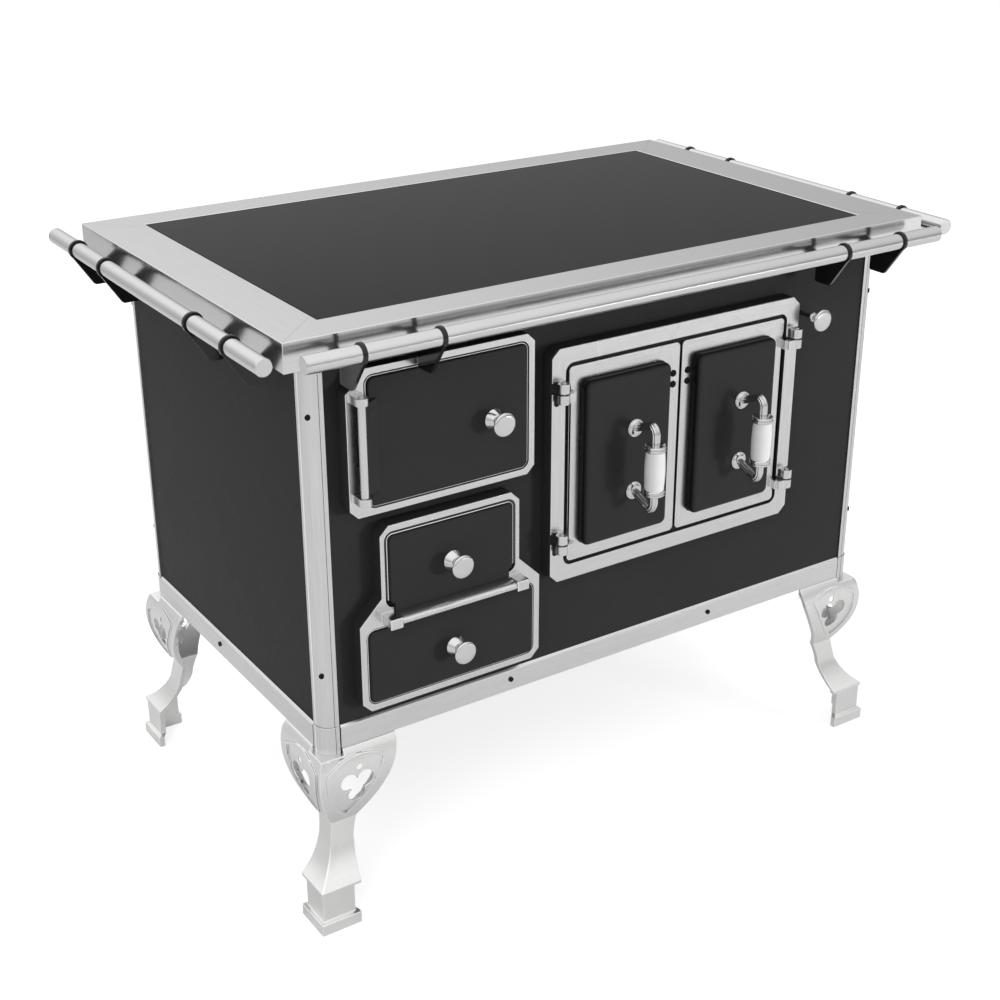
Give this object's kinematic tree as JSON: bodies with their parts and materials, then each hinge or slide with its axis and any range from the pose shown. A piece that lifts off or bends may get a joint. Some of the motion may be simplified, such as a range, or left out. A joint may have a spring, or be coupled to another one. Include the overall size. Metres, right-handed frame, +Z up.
{
  "type": "wood cookstove",
  "caption": "Freestanding enamelled wood cookstove on pierced cast legs, with a bordered glass hob, towel rails, fire door, ash flap and drawer, and twin oven doors.",
  "frame": {"origin": "on the floor in the middle of the stove's plan, rails and flue included", "axes": "+Z up, the front with the doors faces -Y, the firebox is on the -X side"},
  "size_m": [1.09, 0.7262, 0.824],
  "materials": {
    "black_enamel": "smooth glossy black vitreous enamel",
    "stainless_border": "fine brushed stainless sheet",
    "stainless_satin": "satin stainless steel",
    "polished_frame": "polished nickel-plated casting",
    "polished_rail": "polished round bar",
    "nickel_casting": "bright nickel-plated cast iron",
    "chrome": "bright chrome plate",
    "black_glass": "opaque black glass ceramic",
    "black_oxide": "black screw heads",
    "porcelain": "white glazed porcelain",
    "steel_pin": "turned steel",
    "steel_sheet": "plain steel sheet",
    "rack_wire": "plated wire",
    "cast_iron": "bare cast iron",
    "firebrick": "dense pressed firebrick"
  },
  "bodies": {
    "stove": {"worktop_border": "stainless_border", "hob_glass": "black_glass", "hob_support": "steel_sheet", "front_panel": "black_enamel", "left_panel": "black_enamel", "right_panel": "black_enamel", "back_panel": "black_enamel", "base_panel": "steel_sheet", "corner_post_front_left": "stainless_satin", "corner_post_front_right": "stainless_satin", "corner_post_back_left": "stainless_satin", "corner_post_back_right": "stainless_satin", "post_shoes": "stainless_satin", "base_rails": "stainless_satin", "leg_front_left": "nickel_casting", "leg_front_right": "nickel_casting", "leg_back_left": "nickel_casting", "leg_back_right": "nickel_casting", "body_screws": "black_oxide", "front_rail": "polished_rail", "left_rail": "polished_rail", "right_rail": "polished_rail", "rail_brackets": "black_enamel", "fire_surround": "black_enamel", "ash_surround": "black_enamel", "oven_surround": "black_enamel", "fire_frame": "polished_frame", "ash_frame": "polished_frame", "oven_frame": "polished_frame", "hinge_pins": "steel_pin", "oven_liner": "steel_sheet", "oven_rack": "rack_wire", "firebox_shelf": "cast_iron", "grate": "cast_iron", "firebricks": "firebrick", "ash_compartment": "steel_sheet", "smoke_baffle": "steel_sheet", "flue_collar": "cast_iron"},
    "fire_door": {"fire_door_panel": "black_enamel", "fire_door_liner": "cast_iron", "fire_door_hinge": "polished_frame", "fire_door_knob": "chrome"},
    "ash_flap": {"ash_flap_panel": "black_enamel", "ash_flap_hinge": "polished_frame", "ash_flap_knob": "chrome"},
    "ash_drawer": {"drawer_front": "black_enamel", "ash_tray": "steel_sheet", "drawer_knob": "chrome"},
    "oven_left_door": {"oven_left_ring": "polished_frame", "oven_left_panel": "black_enamel", "oven_left_handle": "chrome", "oven_left_grip": "porcelain", "oven_left_screws": "black_oxide"},
    "oven_right_door": {"oven_right_ring": "polished_frame", "oven_right_panel": "black_enamel", "oven_right_handle": "chrome", "oven_right_grip": "porcelain", "oven_right_screws": "black_oxide"},
    "damper": {"damper_rod": "steel_pin", "damper_knob": "chrome"}
  },
  "joints": [
    {"name": "fire_door_hinge_joint", "type": "hinge", "parent": "stove", "child": "fire_door", "pos_m": [-0.4033, -0.3075, 0.6715], "axis": [0, 0, -1], "range_deg": [0, 110]},
    {"name": "ash_flap_hinge_joint", "type": "hinge", "parent": "stove", "child": "ash_flap", "pos_m": [-0.2743, -0.308, 0.4358], "axis": [1, 0, 0], "range_deg": [0, 90]},
    {"name": "ash_drawer_slide", "type": "slide", "parent": "stove", "child": "ash_drawer", "axis": [0, -1, 0], "range_m": [0, 0.3]},
    {"name": "oven_left_door_hinge", "type": "hinge", "parent": "stove", "child": "oven_left_door", "pos_m": [-0.1112, -0.3005, 0.57675], "axis": [0, 0, -1], "range_deg": [0, 95]},
    {"name": "oven_right_door_hinge", "type": "hinge", "parent": "stove", "child": "oven_right_door", "pos_m": [0.2823, -0.3005, 0.57675], "axis": [0, 0, 1], "range_deg": [0, 95]},
    {"name": "damper_slide", "type": "slide", "parent": "stove", "child": "damper", "axis": [0, -1, 0], "range_m": [0, 0.065]}
  ]
}
